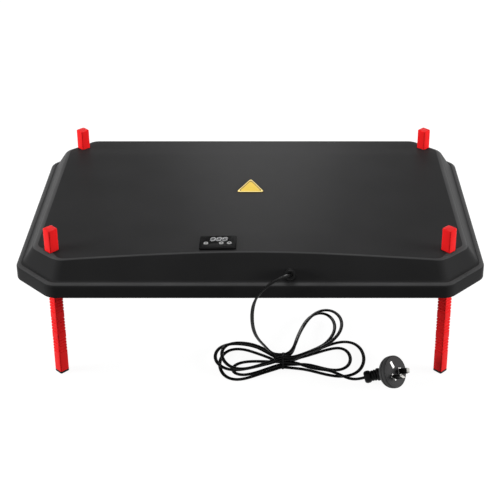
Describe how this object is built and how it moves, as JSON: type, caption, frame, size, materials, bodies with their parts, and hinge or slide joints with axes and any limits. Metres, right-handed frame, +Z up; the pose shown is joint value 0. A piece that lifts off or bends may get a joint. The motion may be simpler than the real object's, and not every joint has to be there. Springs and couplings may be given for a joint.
{
  "type": "chick brooder heating plate",
  "caption": "Low heated plate with a moulded cover and bevelled corners, on notched legs that slide for height, with a thermostat panel and a tied mains cord with a round plug.",
  "frame": {"origin": "on the floor below the middle of the plate, level with the undersides of the four feet", "axes": "+X to the right along the plate's long side, +Y to the back, away from the thermostat panel, +Z up"},
  "size_m": [0.6, 0.4161, 0.215],
  "materials": {
    "cover_plastic": "fine moulded texture, satin",
    "dark_plastic": "satin",
    "warm_panel": "satin",
    "leg_plastic": "semi-gloss moulded",
    "foot_rubber": "matt",
    "cord_plastic": "smooth, slightly shiny",
    "badge_film": "smooth",
    "window_plastic": "clear over black",
    "white_plastic": "satin",
    "button_plastic": "satin",
    "steel": "plain",
    "pin_metal": "plated, polished",
    "circuit": "lacquered",
    "foam": "open cell",
    "film": "smooth"
  },
  "bodies": {
    "plate": {"top_cover": "cover_plastic", "cord_gland": "cover_plastic", "gland_nut": "cover_plastic", "control_panel": "dark_plastic", "switch_set": "dark_plastic", "switch_down": "dark_plastic", "switch_up": "dark_plastic", "relay": "dark_plastic", "plug_boot": "dark_plastic", "plug_body": "dark_plastic", "heating_base": "warm_panel", "leg_guide_front_left": "warm_panel", "leg_guide_front_right": "warm_panel", "leg_guide_back_left": "warm_panel", "leg_guide_back_right": "warm_panel", "cord_drop": "cord_plastic", "cord_hank": "cord_plastic", "cord_tail": "cord_plastic", "hank_tie": "cord_plastic", "badge": "badge_film", "display_window": "window_plastic", "led_display": "white_plastic", "terminal_block": "white_plastic", "plug_blank": "white_plastic", "thermal_cutout": "steel", "temperature_probe": "steel", "leg_catch_front_left": "steel", "leg_catch_front_right": "steel", "leg_catch_back_left": "steel", "leg_catch_back_right": "steel", "base_screw_1": "steel", "base_screw_2": "steel", "base_screw_3": "steel", "base_screw_4": "steel", "base_screw_5": "steel", "base_screw_6": "steel", "base_screw_7": "steel", "base_screw_8": "steel", "panel_screw_1": "steel", "panel_screw_2": "steel", "power_screw_1": "steel", "power_screw_2": "steel", "plug_pin_1": "pin_metal", "plug_pin_2": "pin_metal", "control_board": "circuit", "power_board": "circuit", "insulation_pad": "foam", "heating_film": "film"},
    "leg_front_left": {"leg_front_left": "leg_plastic", "foot_front_left": "foot_rubber"},
    "leg_front_right": {"leg_front_right": "leg_plastic", "foot_front_right": "foot_rubber"},
    "leg_back_left": {"leg_back_left": "leg_plastic", "foot_back_left": "foot_rubber"},
    "leg_back_right": {"leg_back_right": "leg_plastic", "foot_back_right": "foot_rubber"},
    "button_set": {"button_set": "button_plastic"},
    "button_down": {"button_down": "button_plastic"},
    "button_up": {"button_up": "button_plastic"}
  },
  "joints": [
    {"name": "leg_front_left_slide", "type": "slide", "parent": "plate", "child": "leg_front_left", "axis": [0, 0, 1], "range_m": [-0.0184, 0.1058]},
    {"name": "leg_front_right_slide", "type": "slide", "parent": "plate", "child": "leg_front_right", "axis": [0, 0, 1], "range_m": [-0.0184, 0.1058]},
    {"name": "leg_back_left_slide", "type": "slide", "parent": "plate", "child": "leg_back_left", "axis": [0, 0, 1], "range_m": [-0.0184, 0.1058]},
    {"name": "leg_back_right_slide", "type": "slide", "parent": "plate", "child": "leg_back_right", "axis": [0, 0, 1], "range_m": [-0.0184, 0.1058]},
    {"name": "button_set_press", "type": "slide", "parent": "plate", "child": "button_set", "axis": [0.0169, -0.0168, -0.9997], "range_m": [0, 0.0005], "stiffness_N_per_m": 1000, "springref_m": -0.0003},
    {"name": "button_down_press", "type": "slide", "parent": "plate", "child": "button_down", "axis": [0.0169, -0.0168, -0.9997], "range_m": [0, 0.0005], "stiffness_N_per_m": 1000, "springref_m": -0.0003},
    {"name": "button_up_press", "type": "slide", "parent": "plate", "child": "button_up", "axis": [0.0169, -0.0168, -0.9997], "range_m": [0, 0.0005], "stiffness_N_per_m": 1000, "springref_m": -0.0003}
  ]
}
